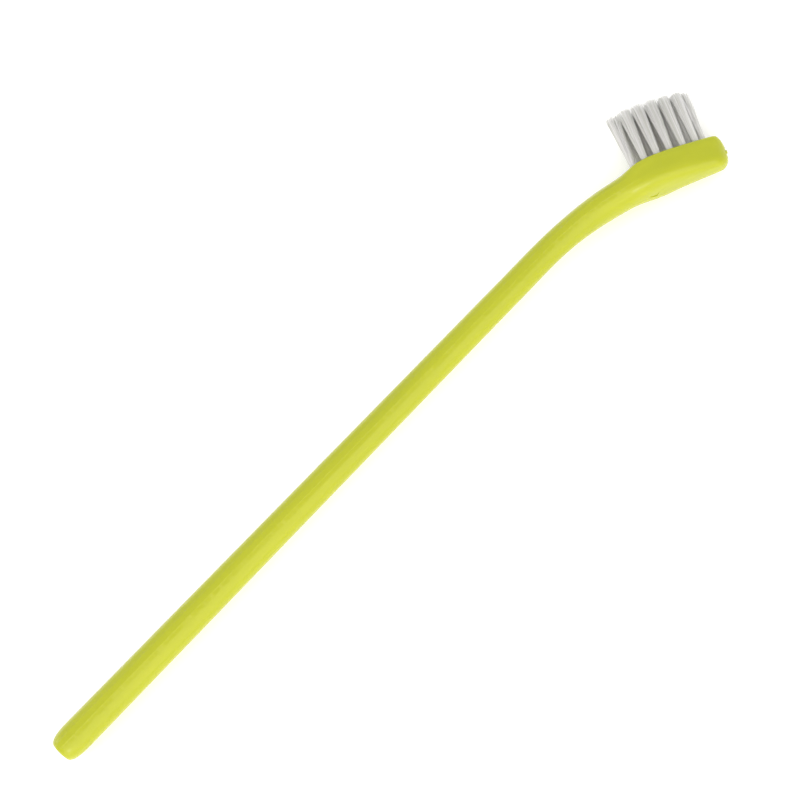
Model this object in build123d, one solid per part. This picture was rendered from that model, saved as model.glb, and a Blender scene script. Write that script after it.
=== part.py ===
from build123d import *
import math
import os

# Pet toothbrush lying on its side. All sizes are in millimetres.
# The grip runs along +X, the bristles point along +Y, and the neck bends away from them, towards -Y.
# The origin ends up under the middle of the brush, on the surface that it lies on.

# Handle: a tapered round grip, a bent neck and a flat-faced head, moulded in one piece.
grip_length = 151.2            # handle end to the start of the bend, along the spine
grip_end_diameter = 7.45       # full diameter near the handle end
neck_diameter = 6.2            # thinnest place, where the bend starts
grip_taper_power = 1.25        # above 1, the taper is quicker near the handle end
nose_length = 6.0              # rounded stretch at the handle end
nose_power = 2.6               # roundness of the nose, 2 for an ellipse
end_face_diameter = 3.8        # small flat face at the very end
bend_radius = 77.0             # of the spine
bend_angle = 28.2              # degrees, turned away from the bristles
toe_straight = 9.2             # straight stretch of spine after the bend

# Head: lengths are measured back from the toe, along the spine.
head_width = 10.8
head_widest_at = 15.9
face_rise = 0.15               # tuft face above the skin of the neck
back_rise = 0.55               # back of the head below the skin of the neck
toe_width = 5.1                # width that the taper would reach at the toe, before it is rounded
toe_taper_power = 1.3
toe_radius = 2.6               # rounding of the toe, seen on the tuft face
toe_back_radius = 2.3          # rounding of the toe, seen from the side, at the back
toe_face_setback = 1.3         # rounding of the toe towards the tuft face, along the head
toe_face_drop = 3.5            # the same, down from the face
toe_cap_inset = 0.05           # where the rounding stops, at a small flat cap
neck_blend_start = 44.1        # the round neck starts to flatten here
neck_blend_end = 24.1          # and the head's corners start to show here
neck_swell = 1.45              # how far the neck has widened each side, at the end of the blend
face_crown = 0.15              # stock above the tuft face, cut away to leave a soft rim
rim_squareness = 8.0           # superellipse power of the corners beside the tuft face
back_squareness = 3.4          # the same at the back
half_section_points = 14       # spans of the curve over each half of a section
nose_shares = (0.0, 0.02, 0.08, 0.2, 0.4, 0.65, 1.0)                # sections along the nose
grip_shares = (0.1, 0.2, 0.35, 0.5, 0.65, 0.8, 0.9, 0.96)           # along the straight grip
neck_sections = 8                                                   # along the neck and heel
taper_shares = (1.0, 0.8, 0.6, 0.42, 0.28)                          # back from the toe, in the taper
toe_shares = (1.0, 0.72, 0.48, 0.28, 0.13, 0.05)                    # back from the toe, in its rounding

# Tufts: folded bundles of filaments in blind holes, in three staggered rows.
tuft_pitch = 2.85              # along each row
tufts_in_row = 6
tuft_field_centre = 11.8       # middle of the field of tufts, back from the toe
tuft_lean = 6.0                # degrees, all tufts alike, back from square to the face at the toe
rim_to_outer_row = 2.25        # edge of the head to the axes of the outer rows
hole_diameter = 1.5
hole_depth = 3.4
tuft_clearance = 0.02          # between a tuft and its hole, on the radius
tuft_height = 12.8             # tuft face to the tips
tuft_tip_gap = 0.1             # least gap between neighbouring tufts at their tips
tuft_tip_diameter = 2.6        # where the neighbours leave room for it

# Anchors: flat wire driven across the fold of each tuft, biting into both sides of the hole.
anchor_bite = 0.22             # into the plastic, each side of the hole
anchor_height = 1.5
anchor_thickness = 0.3
anchor_floor_gap = 0.35        # under the anchor, where the folded filaments pass

# Marks of the moulding.
ejector_mark_diameter = 2.0    # shallow round mark on the back of the head
ejector_mark_depth = 0.12
ejector_mark_at = 18.1         # back from the toe
gate_diameter = 0.8            # stub of the sprue on the toe
gate_length = 0.25
gate_offset = 0.4              # from the spine, towards the back

face_height = neck_diameter / 2 + face_rise
back_depth = neck_diameter / 2 + back_rise
bend_turn = math.radians(bend_angle)
tuft_turn = math.radians(bend_angle - tuft_lean)
bend_length = bend_radius * bend_turn
spine_length = grip_length + bend_length + toe_straight
cutter_size = 60.0             # larger than the head, for the block that trims the tuft face


def spine_turn(distance):
    """Angle that the spine has turned through at a distance from the handle end, in radians."""
    return min(max((distance - grip_length) / bend_radius, 0.0), bend_turn)


def spine_plane(distance):
    """Plane across the spine: its y points to the bristles and its z towards the toe."""
    turn = spine_turn(distance)
    straight = min(distance, grip_length)
    after = max(distance - grip_length - bend_length, 0.0)
    x = straight + bend_radius * math.sin(turn) + after * math.cos(turn)
    y = -bend_radius * (1 - math.cos(turn)) - after * math.sin(turn)
    return Plane(origin=(x, y, 0), x_dir=(0, 0, -1), z_dir=(math.cos(turn), -math.sin(turn), 0))


def smooth(share):
    """Ease from 0 to 1 with no slope at either end."""
    share = min(max(share, 0.0), 1.0)
    return share * share * (3 - 2 * share)


def grip_radius(distance):
    """Radius of the grip, which tapers to the neck and is rounded over at the handle end."""
    left = max(1 - distance / grip_length, 0.0)
    radius = (neck_diameter + (grip_end_diameter - neck_diameter) * left ** grip_taper_power) / 2
    if distance >= nose_length:
        return radius
    face = end_face_diameter / 2
    rise = (1 - (1 - distance / nose_length) ** nose_power) ** (1 / nose_power)
    return face + (radius - face) * rise


def rounded_end(from_toe, radius):
    """Share of a rounding's radius that is left, this far back from the toe."""
    inside = max(1 - from_toe / radius, 0.0)
    return math.sqrt(1 - inside * inside)


def head_half_width(from_toe):
    """Half the width of the neck and head: a swelling neck, the heel, and a taper to a round toe."""
    widest = head_width / 2
    if from_toe < head_widest_at:
        narrowing = (1 - from_toe / head_widest_at) ** toe_taper_power
        tapered = widest - (widest - toe_width / 2) * narrowing
        return tapered * rounded_end(from_toe, toe_radius)
    neck = neck_diameter / 2
    swell = smooth((neck_blend_start - from_toe) / (neck_blend_start - neck_blend_end)) * neck_swell
    flare = smooth((neck_blend_end - from_toe) / (neck_blend_end - head_widest_at))
    return neck + swell + (widest - neck - swell) * flare


def closed_section(distance, half_width, face, back, face_power, back_power):
    """Superellipse across the spine, as two curves that meet smoothly at the sides."""
    halves = []
    for up, height, power in ((1, face, face_power), (-1, back, back_power)):
        points = []
        for step in range(half_section_points + 1):
            angle = up * math.pi * step / half_section_points
            across = abs(math.cos(angle))
            rise = abs(math.sin(angle))
            reach = (across ** power + rise ** power) ** (-1 / power)
            points.append((half_width * reach * math.cos(angle), height * reach * math.sin(angle)))
        halves.append(Spline(points, tangents=[(0, up), (0, -up)]))
    return spine_plane(distance) * make_face(Wire(halves))


def round_section(distance):
    """Circular section of the grip."""
    radius = grip_radius(distance)
    return closed_section(distance, radius, radius, radius, 2, 2)


def head_section(from_toe):
    """Section of the neck or head: round in the neck, square-shouldered in the head."""
    neck = neck_diameter / 2
    thicken = smooth((neck_blend_start - from_toe) / (neck_blend_start - head_widest_at))
    square = smooth((neck_blend_end - from_toe) / (neck_blend_end - head_widest_at))
    face = neck + (face_height + face_crown - neck) * thicken
    back = neck + (back_depth - neck) * thicken
    back -= toe_back_radius * (1 - rounded_end(from_toe, toe_back_radius))
    face -= toe_face_drop * (1 - rounded_end(from_toe, toe_face_setback))
    face_power = 2 + (rim_squareness - 2) * square
    back_power = 2 + (back_squareness - 2) * square
    half_width = head_half_width(from_toe)
    return closed_section(spine_length - from_toe, half_width, face, back, face_power, back_power)


def handle_blank():
    """Grip, neck and head as one smooth skin, still with the crown above the tuft face."""
    sections = [round_section(nose_length * share) for share in nose_shares]
    sections += [round_section(grip_length * share) for share in grip_shares]
    neck_step = (neck_blend_start - head_widest_at) / neck_sections
    sections += [head_section(neck_blend_start - neck_step * step) for step in range(neck_sections)]
    sections += [head_section(head_widest_at * share) for share in taper_shares]
    sections += [head_section(toe_radius * share) for share in toe_shares]
    sections.append(head_section(toe_cap_inset))
    return loft(sections)


def face_trimmer():
    """Block whose underside is the tuft face, which follows the bend of the spine."""
    start = spine_plane(spine_length - neck_blend_start)
    bend_end = spine_plane(grip_length + bend_length)
    toe = spine_plane(spine_length + toe_radius)
    middle = spine_plane(spine_length - (toe_straight + neck_blend_start) / 2)
    low_start = start.from_local_coords(Vector(0, face_height, 0))
    low_middle = middle.from_local_coords(Vector(0, face_height, 0))
    low_end = bend_end.from_local_coords(Vector(0, face_height, 0))
    low_toe = toe.from_local_coords(Vector(0, face_height, 0))
    high_toe = toe.from_local_coords(Vector(0, cutter_size, 0))
    high_start = start.from_local_coords(Vector(0, cutter_size, 0))
    edge = Wire([
        ThreePointArc(low_start, low_middle, low_end),
        Line(low_end, low_toe),
        Line(low_toe, high_toe),
        Line(high_toe, high_start),
        Line(high_start, low_start),
    ])
    return extrude(Face(edge), amount=head_width, dir=(0, 0, 1), both=True)


def tuft_places():
    """Distance back from the toe and height across the head of each tuft, from the heel on."""
    places = []
    stagger = tuft_pitch / 4
    for column in range(tufts_in_row):
        from_toe = tuft_field_centre + ((tufts_in_row - 1) / 2 - column) * tuft_pitch
        outer = from_toe + stagger
        across = head_half_width(outer) - rim_to_outer_row
        places += [(outer, across), (outer, -across), (from_toe - stagger, 0.0)]
    return places


def tuft_frame(place):
    """Plane at a tuft's foot on the face: its z points out along the tuft, its x towards the toe."""
    from_toe, across = place
    foot = spine_plane(spine_length - from_toe).from_local_coords(Vector(-across, face_height, 0))
    toeward = (math.cos(tuft_turn), -math.sin(tuft_turn), 0)
    outward = (math.sin(tuft_turn), math.cos(tuft_turn), 0)
    return Plane(origin=foot, x_dir=toeward, z_dir=outward)


def tip_radius(frame, frames):
    """Radius of a tuft's tips, as wide as its nearest neighbour allows."""
    apart = [(other.origin - frame.origin).cross(frame.z_dir).length for other in frames]
    nearest = min(gap for gap in apart if gap > 0)
    return min(tuft_tip_diameter, nearest - tuft_tip_gap) / 2


def anchor_box(frame):
    """Flat wire across the fold of a tuft, along the head."""
    length = hole_diameter + 2 * anchor_bite
    base = anchor_floor_gap - hole_depth
    return frame * Pos(0, 0, base + anchor_height / 2) * Box(length, anchor_thickness, anchor_height)


def tuft_solid(frame, radius_at_tips):
    """Bundle in its hole and, above the face, flaring to its tips, with a slot for the anchor."""
    radius = hole_diameter / 2 - tuft_clearance
    root = Pos(0, 0, -hole_depth / 2) * Cylinder(radius, hole_depth)
    brush = Pos(0, 0, tuft_height / 2) * Cone(radius, radius_at_tips, tuft_height)
    return frame * (root + brush) - anchor_box(frame)


def tuft_hole(frame):
    """Blind hole with the slots that the anchor has cut in its sides."""
    reach = 1.0
    hole = Pos(0, 0, (reach - hole_depth) / 2) * Cylinder(hole_diameter / 2, hole_depth + reach)
    return frame * hole + anchor_box(frame)


def gate_stub():
    """Stub of the sprue on the toe's cap."""
    root = toe_radius / 2
    cap = spine_plane(spine_length - toe_cap_inset)
    place = Pos(0, -gate_offset, (gate_length - root) / 2)
    return cap * place * Cylinder(gate_diameter / 2, gate_length + root)


def ejector_mark():
    """Shallow round recess in the back of the head."""
    here = spine_plane(spine_length - ejector_mark_at)
    centre = here.from_local_coords(Vector(0, -back_depth, 0))
    frame = Plane(origin=centre, x_dir=here.z_dir, z_dir=here.y_dir)
    return frame * Cylinder(ejector_mark_diameter / 2, 2 * ejector_mark_depth)


def handle_solid(frames):
    """The moulding: trimmed blank, tuft holes, gate stub and ejector mark."""
    cutters = [face_trimmer(), ejector_mark()] + [tuft_hole(frame) for frame in frames]
    return handle_blank() + gate_stub() - cutters


frames = [tuft_frame(place) for place in tuft_places()]
nodes = {"handle": handle_solid(frames)}
for number, frame in enumerate(frames, start=1):
    nodes[f"tuft_{number:02d}"] = tuft_solid(frame, tip_radius(frame, frames))
    nodes[f"anchor_{number:02d}"] = anchor_box(frame)

# The whole brush moves so that the origin is under its middle, at the height of its lowest side.
extent = Compound([solid for node in nodes.values() for solid in node.solids()]).bounding_box()
shift = Pos(-extent.center().X, -extent.center().Y, -extent.min.Z)
os.makedirs("parts", exist_ok=True)
for name, node in nodes.items():
    export_step(shift * node, f"parts/{name}.step")
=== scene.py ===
import math

import bpy
from mathutils import Matrix, Vector


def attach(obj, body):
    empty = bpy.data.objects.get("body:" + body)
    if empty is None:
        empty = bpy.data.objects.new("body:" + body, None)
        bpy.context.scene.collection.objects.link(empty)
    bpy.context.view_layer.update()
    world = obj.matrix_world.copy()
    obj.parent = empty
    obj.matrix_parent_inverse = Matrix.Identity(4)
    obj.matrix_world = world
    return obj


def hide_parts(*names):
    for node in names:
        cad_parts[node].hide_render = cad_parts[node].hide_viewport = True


# A pet toothbrush lying on its side: a moulded handle and head, nylon tufts and hidden wire anchors.
# Lengths are in metres; MM turns a size in millimetres into metres.

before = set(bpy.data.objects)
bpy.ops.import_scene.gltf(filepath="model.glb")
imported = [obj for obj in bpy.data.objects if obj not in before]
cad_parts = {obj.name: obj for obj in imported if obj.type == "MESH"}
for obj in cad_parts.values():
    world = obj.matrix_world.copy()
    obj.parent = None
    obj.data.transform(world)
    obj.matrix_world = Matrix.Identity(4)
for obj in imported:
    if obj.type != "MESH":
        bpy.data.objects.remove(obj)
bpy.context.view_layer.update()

MM = 0.001

# Tufts
HOLE_DEPTH = 3.4 * MM          # of the blind holes in the head
HOLE_RADIUS = 0.75 * MM
ANCHOR_TOP = 1.55 * MM         # below the face; a bundle is one folded mass under this
FILAMENT_RADIUS = 0.075 * MM
FILAMENTS = 84                 # tips in one tuft
FILAMENT_SIDES = 6
FILAMENT_RINGS = 12
ROOT_GAP = 0.03 * MM           # between the bundle and the wall of its hole
TIP_SPREAD = 1.14              # of the tips, against the plain tuft they stand for
HEIGHT_SPREAD = 0.05 * MM      # how unevenly the tips are trimmed
DRIFT = 0.12 * MM              # how far a tip wanders sideways
STRAY_DRIFT = 0.9 * MM         # the same for the few that stick out of the two end tufts
SAME_PLANE = 0.05 * MM         # faces nearer than this to a tuft's end are its tips
TIP_CLOSING = 0.5              # width of a filament's rounded end, against the rest of it
GOLDEN_ANGLE = math.pi * (3 - math.sqrt(5))


def srgb(code):
    """A hex colour as linear red, green, blue and alpha."""
    channels = [int(code[i:i + 2], 16) / 255 for i in (1, 3, 5)]
    return tuple(c / 12.92 if c <= 0.04045 else ((c + 0.055) / 1.055) ** 2.4 for c in channels) + (1.0,)


def add_node(tree, kind, settings=None, inputs=None):
    """Add a node with its settings; an input given as a socket is linked, any other is a value."""
    node = tree.nodes.new(kind)
    for name, value in (settings or {}).items():
        setattr(node, name, value)
    for name, value in (inputs or {}).items():
        if isinstance(value, bpy.types.NodeSocket):
            tree.links.new(value, node.inputs[name])
        else:
            node.inputs[name].default_value = value
    return node


def new_material(name):
    """An empty node material, its output and its Object coordinates."""
    material = bpy.data.materials.new(name)
    material.use_nodes = True
    tree = material.node_tree
    tree.nodes.clear()
    output = add_node(tree, "ShaderNodeOutputMaterial")
    place = add_node(tree, "ShaderNodeTexCoord").outputs["Object"]
    return material, tree, output, place


def moulded_polypropylene():
    """Yellow-green polypropylene from a polished mould: satin gloss, slightly see-into at thin
    edges, with faint flow streaks along the handle and a fine ripple in the gloss."""
    material, tree, output, place = new_material("moulded_polypropylene")
    flow_place = add_node(tree, "ShaderNodeMapping", {}, {
        "Vector": place, "Scale": (1 / (40 * MM), 1 / (5 * MM), 1 / (5 * MM))}).outputs["Vector"]
    flow = add_node(tree, "ShaderNodeTexNoise", {}, {
        "Vector": flow_place, "Scale": 1.0, "Detail": 3.0}).outputs["Fac"]
    colour = add_node(tree, "ShaderNodeValToRGB", {}, {"Fac": flow})
    colour.color_ramp.elements[0].position = 0.3
    colour.color_ramp.elements[0].color = srgb("#aab010")
    colour.color_ramp.elements[1].position = 0.7
    colour.color_ramp.elements[1].color = srgb("#b0b513")
    ripple = add_node(tree, "ShaderNodeTexNoise", {}, {
        "Vector": place, "Scale": 1 / (1.6 * MM), "Detail": 2.0}).outputs["Fac"]
    roughness = add_node(tree, "ShaderNodeMapRange", {}, {
        "Value": ripple, "To Min": 0.2, "To Max": 0.23}).outputs["Result"]
    bump = add_node(tree, "ShaderNodeBump", {}, {
        "Strength": 0.03, "Distance": 0.02 * MM, "Height": ripple}).outputs["Normal"]
    surface = add_node(tree, "ShaderNodeBsdfPrincipled", {"subsurface_method": "RANDOM_WALK"}, {
        "Base Color": colour.outputs["Color"], "Roughness": roughness, "Normal": bump,
        "IOR": 1.49, "Subsurface Weight": 0.35, "Subsurface Scale": 2.0 * MM,
        "Subsurface Radius": (1.0, 0.95, 0.25)})
    tree.links.new(surface.outputs["BSDF"], output.inputs["Surface"])
    return material


def drawn_nylon():
    """Off-white drawn nylon filament: each one a little lighter or darker than the next, smooth
    along its length, letting some light through."""
    material, tree, output, place = new_material("drawn_nylon_filament")
    tone = add_node(tree, "ShaderNodeAttribute", {"attribute_name": "filament_tone"}).outputs["Fac"]
    colour = add_node(tree, "ShaderNodeValToRGB", {}, {"Fac": tone})
    colour.color_ramp.elements[0].color = srgb("#d2d3cd")
    colour.color_ramp.elements[1].color = srgb("#ecebec")
    draw_lines = add_node(tree, "ShaderNodeTexNoise", {}, {
        "Vector": place, "Scale": 1 / (0.5 * MM), "Detail": 1.0}).outputs["Fac"]
    roughness = add_node(tree, "ShaderNodeMapRange", {}, {
        "Value": draw_lines, "To Min": 0.28, "To Max": 0.42}).outputs["Result"]
    surface = add_node(tree, "ShaderNodeBsdfPrincipled", {"subsurface_method": "RANDOM_WALK"}, {
        "Base Color": colour.outputs["Color"], "Roughness": roughness, "IOR": 1.53,
        "Subsurface Weight": 0.4, "Subsurface Scale": 0.3 * MM,
        "Subsurface Radius": (1.0, 1.0, 1.0)})
    tree.links.new(surface.outputs["BSDF"], output.inputs["Surface"])
    return material


def rolled_brass():
    """Brass wire rolled flat: yellow metal with fine lines along its length."""
    material, tree, output, place = new_material("rolled_brass_wire")
    line_place = add_node(tree, "ShaderNodeMapping", {}, {
        "Vector": place, "Scale": (1 / (3 * MM), 1 / (0.05 * MM), 1 / (0.05 * MM))}).outputs["Vector"]
    lines = add_node(tree, "ShaderNodeTexNoise", {}, {
        "Vector": line_place, "Scale": 1.0, "Detail": 2.0}).outputs["Fac"]
    colour = add_node(tree, "ShaderNodeValToRGB", {}, {"Fac": lines})
    colour.color_ramp.elements[0].color = srgb("#b9974f")
    colour.color_ramp.elements[1].color = srgb("#e0c27a")
    roughness = add_node(tree, "ShaderNodeMapRange", {}, {
        "Value": lines, "To Min": 0.2, "To Max": 0.4}).outputs["Result"]
    surface = add_node(tree, "ShaderNodeBsdfPrincipled", {}, {
        "Base Color": colour.outputs["Color"], "Roughness": roughness, "Metallic": 1.0})
    tree.links.new(surface.outputs["BSDF"], output.inputs["Surface"])
    return material


def paper_backdrop():
    """Matt white paper on a light table: blank and bright, with the faintest cloud of tone."""
    material, tree, output, place = new_material("matt_paper")
    cloud = add_node(tree, "ShaderNodeTexNoise", {}, {
        "Vector": place, "Scale": 1 / (120 * MM), "Detail": 2.0}).outputs["Fac"]
    colour = add_node(tree, "ShaderNodeValToRGB", {}, {"Fac": cloud})
    colour.color_ramp.elements[0].color = srgb("#f6f6f5")
    colour.color_ramp.elements[1].color = srgb("#fbfbfa")
    surface = add_node(tree, "ShaderNodeBsdfPrincipled", {}, {
        "Base Color": colour.outputs["Color"], "Roughness": 0.9,
        "Emission Color": (1.0, 1.0, 1.0, 1.0), "Emission Strength": 0.22})
    tree.links.new(surface.outputs["BSDF"], output.inputs["Surface"])
    return material


def tuft_tree(nylon):
    """Node tree of one tuft, standing on the origin along +Z: filaments spread evenly over a disc
    at the hole and flare to a wider disc at the tips, each a little out of place."""
    tree = bpy.data.node_groups.new("tuft_of_filaments", "GeometryNodeTree")
    for name, kind in (("Filaments", "Int"), ("Root Radius", "Float"), ("Tip Radius", "Float"),
                       ("Height", "Float"), ("Drift", "Float"), ("Seed", "Int")):
        tree.interface.new_socket(name, in_out="INPUT", socket_type="NodeSocket" + kind)
    tree.interface.new_socket("Geometry", in_out="OUTPUT", socket_type="NodeSocketGeometry")
    size = add_node(tree, "NodeGroupInput").outputs

    # Where each filament stands in the disc, as a point of the unit disc.
    index = add_node(tree, "GeometryNodeInputIndex").outputs["Index"]
    middle = add_node(tree, "ShaderNodeMath", {"operation": "ADD"}, {0: index, 1: 0.5}).outputs[0]
    share = add_node(tree, "ShaderNodeMath", {"operation": "DIVIDE"}, {
        0: middle, 1: size["Filaments"]}).outputs[0]
    radius = add_node(tree, "ShaderNodeMath", {"operation": "SQRT"}, {0: share}).outputs[0]
    turn = add_node(tree, "ShaderNodeMath", {"operation": "MULTIPLY"}, {
        0: index, 1: GOLDEN_ANGLE}).outputs[0]
    arm = add_node(tree, "ShaderNodeCombineXYZ", {}, {"X": radius}).outputs["Vector"]
    seat = add_node(tree, "ShaderNodeVectorRotate", {"rotation_type": "Z_AXIS"}, {
        "Vector": arm, "Angle": turn}).outputs["Vector"]
    wander = add_node(tree, "FunctionNodeRandomValue", {"data_type": "FLOAT_VECTOR"}, {
        "Min": (-1, -1, -1), "Max": (1, 1, 1), "Seed": size["Seed"]}).outputs["Value"]
    tone = add_node(tree, "FunctionNodeRandomValue", {"data_type": "FLOAT"}, {
        "Seed": size["Seed"]}).outputs[1]

    points = add_node(tree, "GeometryNodePoints", {}, {"Count": size["Filaments"]}).outputs[0]
    kept = points
    fields = []
    for field in (seat, wander):
        keep = tree.nodes.new("GeometryNodeCaptureAttribute")
        keep.capture_items.new("VECTOR", "Value")
        tree.links.new(kept, keep.inputs[0])
        tree.links.new(field, keep.inputs[1])
        kept = keep.outputs[0]
        fields.append(keep.outputs[1])
    seat, wander = fields
    toned = add_node(tree, "GeometryNodeStoreNamedAttribute", {"data_type": "FLOAT"}, {
        "Geometry": kept, "Name": "filament_tone", "Value": tone}).outputs[0]

    # One straight line for each, then bent into place.
    line = add_node(tree, "GeometryNodeCurvePrimitiveLine").outputs[0]
    rings = add_node(tree, "GeometryNodeResampleCurve", {}, {
        "Curve": line, "Count": FILAMENT_RINGS}).outputs[0]
    copies = add_node(tree, "GeometryNodeInstanceOnPoints", {}, {
        "Points": toned, "Instance": rings}).outputs[0]
    lines = add_node(tree, "GeometryNodeRealizeInstances", {}, {"Geometry": copies}).outputs[0]
    along = add_node(tree, "GeometryNodeSplineParameter").outputs["Factor"]
    left = add_node(tree, "ShaderNodeMath", {"operation": "SUBTRACT"}, {0: 1.0, 1: along}).outputs[0]
    left = add_node(tree, "ShaderNodeMath", {"operation": "MULTIPLY"}, {0: left, 1: left}).outputs[0]
    uneven = add_node(tree, "ShaderNodeSeparateXYZ", {}, {"Vector": wander}).outputs["Z"]
    top = add_node(tree, "ShaderNodeMath", {"operation": "MULTIPLY_ADD"}, {
        0: uneven, 1: HEIGHT_SPREAD, 2: size["Height"]}).outputs[0]
    height = add_node(tree, "ShaderNodeMapRange", {}, {
        "Value": left, "From Min": 1.0, "From Max": 0.0, "To Min": -ANCHOR_TOP, "To Max": top}).outputs[0]
    spread = add_node(tree, "ShaderNodeMapRange", {}, {
        "Value": height, "From Min": 0.0, "From Max": size["Height"],
        "To Min": size["Root Radius"], "To Max": size["Tip Radius"]}).outputs[0]
    raised = add_node(tree, "ShaderNodeMapRange", {}, {
        "Value": height, "From Min": 0.0, "From Max": size["Height"]}).outputs[0]
    bent = add_node(tree, "ShaderNodeMath", {"operation": "POWER"}, {0: raised, 1: 2.0}).outputs[0]
    flare = add_node(tree, "ShaderNodeVectorMath", {"operation": "SCALE"}, {
        0: seat, "Scale": spread}).outputs[0]
    # Cubing a random number leaves most filaments close to their place and sends a few far out.
    squared = add_node(tree, "ShaderNodeVectorMath", {"operation": "MULTIPLY"}, {
        0: wander, 1: wander}).outputs[0]
    rare = add_node(tree, "ShaderNodeVectorMath", {"operation": "MULTIPLY"}, {
        0: squared, 1: wander}).outputs[0]
    reach = add_node(tree, "ShaderNodeMath", {"operation": "MULTIPLY"}, {
        0: bent, 1: size["Drift"]}).outputs[0]
    drift = add_node(tree, "ShaderNodeVectorMath", {"operation": "SCALE"}, {
        0: rare, "Scale": reach}).outputs[0]
    flat = add_node(tree, "ShaderNodeVectorMath", {"operation": "MULTIPLY"}, {
        0: drift, 1: (1, 1, 0)}).outputs[0]
    axis = add_node(tree, "ShaderNodeCombineXYZ", {}, {"Z": height}).outputs["Vector"]
    place = add_node(tree, "ShaderNodeVectorMath", {"operation": "ADD"}, {0: flare, 1: flat}).outputs[0]
    place = add_node(tree, "ShaderNodeVectorMath", {"operation": "ADD"}, {0: place, 1: axis}).outputs[0]
    bundle = add_node(tree, "GeometryNodeSetPosition", {}, {
        "Geometry": lines, "Position": place}).outputs[0]

    # A skin with a few flat sides that closes in at the tip.
    section = add_node(tree, "GeometryNodeCurvePrimitiveCircle", {}, {
        "Resolution": FILAMENT_SIDES, "Radius": FILAMENT_RADIUS}).outputs[0]
    rounding = add_node(tree, "ShaderNodeMapRange", {}, {
        "Value": along, "From Min": 1 - 1 / (FILAMENT_RINGS - 1), "From Max": 1.0,
        "To Min": 1.0, "To Max": TIP_CLOSING}).outputs[0]
    skin = add_node(tree, "GeometryNodeCurveToMesh", {}, {
        "Curve": bundle, "Profile Curve": section, "Scale": rounding, "Fill Caps": True}).outputs[0]
    skin = add_node(tree, "GeometryNodeSetShadeSmooth", {}, {"Geometry": skin}).outputs[0]
    whole = add_node(tree, "GeometryNodeRealizeInstances", {}, {"Geometry": skin}).outputs[0]
    shaded = add_node(tree, "GeometryNodeSetMaterial", {}, {
        "Geometry": whole, "Material": nylon}).outputs[0]
    add_node(tree, "NodeGroupOutput", {}, {"Geometry": shaded})
    return tree


def grown_mesh(tree, sizes):
    """Plain mesh that the node tree makes at these sizes, given by the names of its inputs."""
    holder = bpy.data.objects.new("holder", bpy.data.meshes.new("holder"))
    bpy.context.scene.collection.objects.link(holder)
    modifier = holder.modifiers.new("grow", "NODES")
    modifier.node_group = tree
    for socket in tree.interface.items_tree:
        if socket.in_out == "INPUT":
            modifier[socket.identifier] = sizes[socket.name]
    evaluated = holder.evaluated_get(bpy.context.evaluated_depsgraph_get())
    mesh = bpy.data.meshes.new_from_object(evaluated)
    holder.modifiers.clear()
    bpy.data.objects.remove(holder)
    return mesh


def tuft_ends(node):
    """Root centre, tip centre and tip radius of a CAD tuft. Its largest flat is its tips together
    with the floor of the anchor's slot, which faces the same way, so only the far end counts."""
    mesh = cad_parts[node].data
    flats = {}
    for face in mesh.polygons:
        flats.setdefault(face.normal.to_tuple(3), []).append(face)
    flat = max(flats.values(), key=lambda faces: sum(face.area for face in faces))
    along = flat[0].normal.copy()
    end = max(along.dot(face.center) for face in flat)
    tip_faces = [face for face in flat if along.dot(face.center) > end - SAME_PLANE]
    area = sum(face.area for face in tip_faces)
    tips = sum((face.center * face.area for face in tip_faces), Vector()) / area
    length = max(along.dot(tips - vertex.co) for vertex in mesh.vertices)
    return tips - along * length, tips, math.sqrt(area / math.pi)


polypropylene = moulded_polypropylene()
nylon = drawn_nylon()
brass = rolled_brass()

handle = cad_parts["handle"]
handle.data.materials.clear()
handle.data.materials.append(polypropylene)

tree = tuft_tree(nylon)
tuft_nodes = sorted(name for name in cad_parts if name.startswith("tuft"))
for number, node in enumerate(tuft_nodes, start=1):
    root, tips, tip_radius = tuft_ends(node)
    along = (tips - root).normalized()
    foot = root + along * HOLE_DEPTH
    across = Vector((0, 0, 1))
    to_toe = along.cross(across)
    end_tuft = number in (1, len(tuft_nodes))
    mesh = grown_mesh(tree, {
        "Filaments": FILAMENTS,
        "Root Radius": HOLE_RADIUS - FILAMENT_RADIUS - ROOT_GAP,
        "Tip Radius": tip_radius * TIP_SPREAD,
        "Height": (tips - foot).length,
        "Drift": STRAY_DRIFT if end_tuft else DRIFT,
        "Seed": number,
    })
    mesh.transform(Matrix.Translation(foot) @ Matrix((to_toe, -across, along)).transposed().to_4x4())
    tuft = bpy.data.objects.new(f"bristle_{node}", mesh)
    bpy.context.scene.collection.objects.link(tuft)
    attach(tuft, "root")
    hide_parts(node)

for name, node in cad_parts.items():
    if name.startswith("anchor"):
        node.data.materials.clear()
        node.data.materials.append(brass)

# Floor: a sheet of paper, far larger than the view.
FLOOR_REACH = 3.0
corners = [(x * FLOOR_REACH, y * FLOOR_REACH, 0) for x, y in ((-1, -1), (1, -1), (1, 1), (-1, 1))]
floor_mesh = bpy.data.meshes.new("floor")
floor_mesh.from_pydata(corners, [], [(0, 1, 2, 3)])
floor = bpy.data.objects.new("floor", floor_mesh)
floor.data.materials.append(paper_backdrop())
bpy.context.scene.collection.objects.link(floor)

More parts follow.
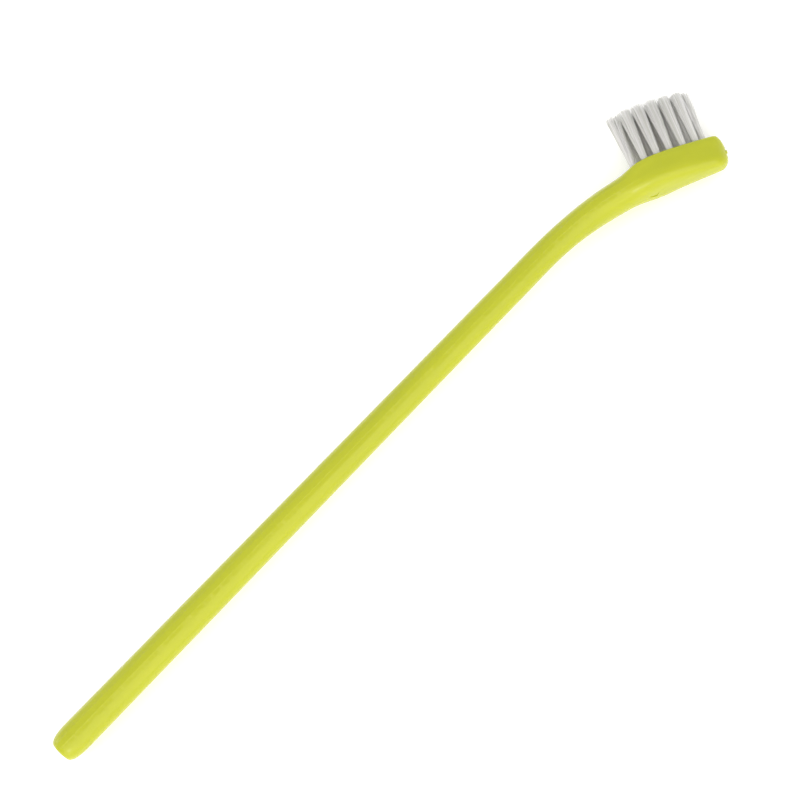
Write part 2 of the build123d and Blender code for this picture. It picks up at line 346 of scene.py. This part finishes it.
# Camera: looks down on the brush from its back side, turned so that the brush runs up to the right.
SENSOR_WIDTH = 36              # millimetres
CAMERA_DISTANCE = 0.7
CAMERA_TILT = math.radians(23)
CAMERA_ROLL = math.radians(45.8)
VIEW_WIDTH = 0.1752            # seen at the brush
AIM = Vector((7.54, 2.71, 6.70)) * MM
LIGHT_DISTANCE = 0.9
toward = Vector((0, -math.sin(CAMERA_TILT), math.cos(CAMERA_TILT)))
level = Vector((1, 0, 0))
upward = toward.cross(level)
right = level * math.cos(CAMERA_ROLL) - upward * math.sin(CAMERA_ROLL)
top = level * math.sin(CAMERA_ROLL) + upward * math.cos(CAMERA_ROLL)
camera_data = bpy.data.cameras.new("camera")
camera_data.sensor_width = SENSOR_WIDTH
camera_data.lens = SENSOR_WIDTH * CAMERA_DISTANCE / VIEW_WIDTH
camera = bpy.data.objects.new("camera", camera_data)
turned = Matrix((right, top, toward)).transposed().to_4x4()
camera.matrix_world = Matrix.Translation(AIM + toward * CAMERA_DISTANCE) @ turned
bpy.context.scene.collection.objects.link(camera)
bpy.context.scene.camera = camera


def softbox(name, direction, size, power, colour):
    """Square studio light aimed at the brush from a direction, LIGHT_DISTANCE away."""
    data = bpy.data.lights.new(name, "AREA")
    data.shape = "SQUARE"
    data.size = size
    data.energy = power
    data.color = srgb(colour)[:3]
    light = bpy.data.objects.new(name, data)
    away = Vector(direction).normalized()
    light.location = AIM + away * LIGHT_DISTANCE
    light.rotation_euler = away.to_track_quat("Z", "Y").to_euler()
    bpy.context.scene.collection.objects.link(light)


# A broad warm key beyond the handle end, on the back side, and two small lamps low on either side.
softbox("key", (-0.45, -0.8, 0.5), 1.3, 6.3, "#fff4e6")
softbox("lamp_back", (-0.6, -0.7, 0.36), 0.12, 0.4, "#fff8ee")
softbox("lamp_front", (-0.6, 0.8, 0.36), 0.12, 0.3, "#fff8ee")

world = bpy.data.worlds.new("studio")
world.use_nodes = True
world.node_tree.nodes["Background"].inputs["Color"].default_value = (1, 1, 1, 1)
world.node_tree.nodes["Background"].inputs["Strength"].default_value = 1.05
bpy.context.scene.world = world
bpy.context.scene.view_settings.view_transform = "Standard"
